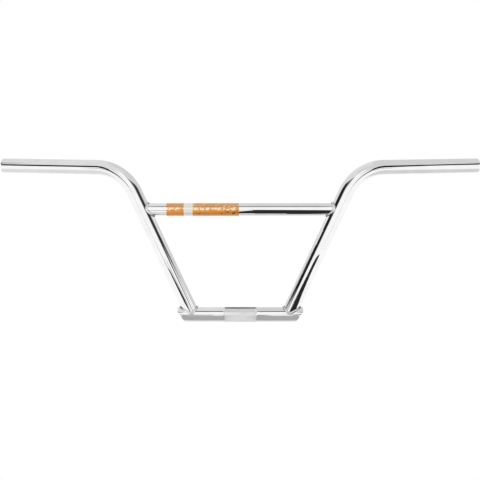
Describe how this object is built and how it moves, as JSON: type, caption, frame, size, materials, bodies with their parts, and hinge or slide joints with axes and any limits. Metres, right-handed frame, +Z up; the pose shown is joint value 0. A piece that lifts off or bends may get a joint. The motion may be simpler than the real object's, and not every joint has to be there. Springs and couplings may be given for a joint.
{
  "type": "bmx handlebar",
  "caption": "Welded BMX handlebar in chromed steel tube: bent side tubes with swept-back grip ends, a crossbar with a printed film, and a bottom tube with a knurled stem clamp zone.",
  "frame": {"origin": "middle of the knurled clamp zone, on the bottom tube's axis", "axes": "+X along the bottom tube to the rider's left, +Y back to the rider, +Z up"},
  "size_m": [0.7368, 0.0641, 0.2486],
  "materials": {
    "chrome_tube": "mirror chrome plate on steel, satin over the knurl",
    "chrome_weld": "chrome plate over rippled weld beads",
    "printed_film": "gloss printed film"
  },
  "bodies": {
    "root": {"left_side_tube": "chrome_tube", "right_side_tube": "chrome_tube", "bottom_tube": "chrome_tube", "crossbar": "chrome_tube", "left_foot_weld": "chrome_weld", "right_foot_weld": "chrome_weld", "left_crossbar_weld": "chrome_weld", "right_crossbar_weld": "chrome_weld", "crossbar_decal": "printed_film"}
  },
  "joints": []
}
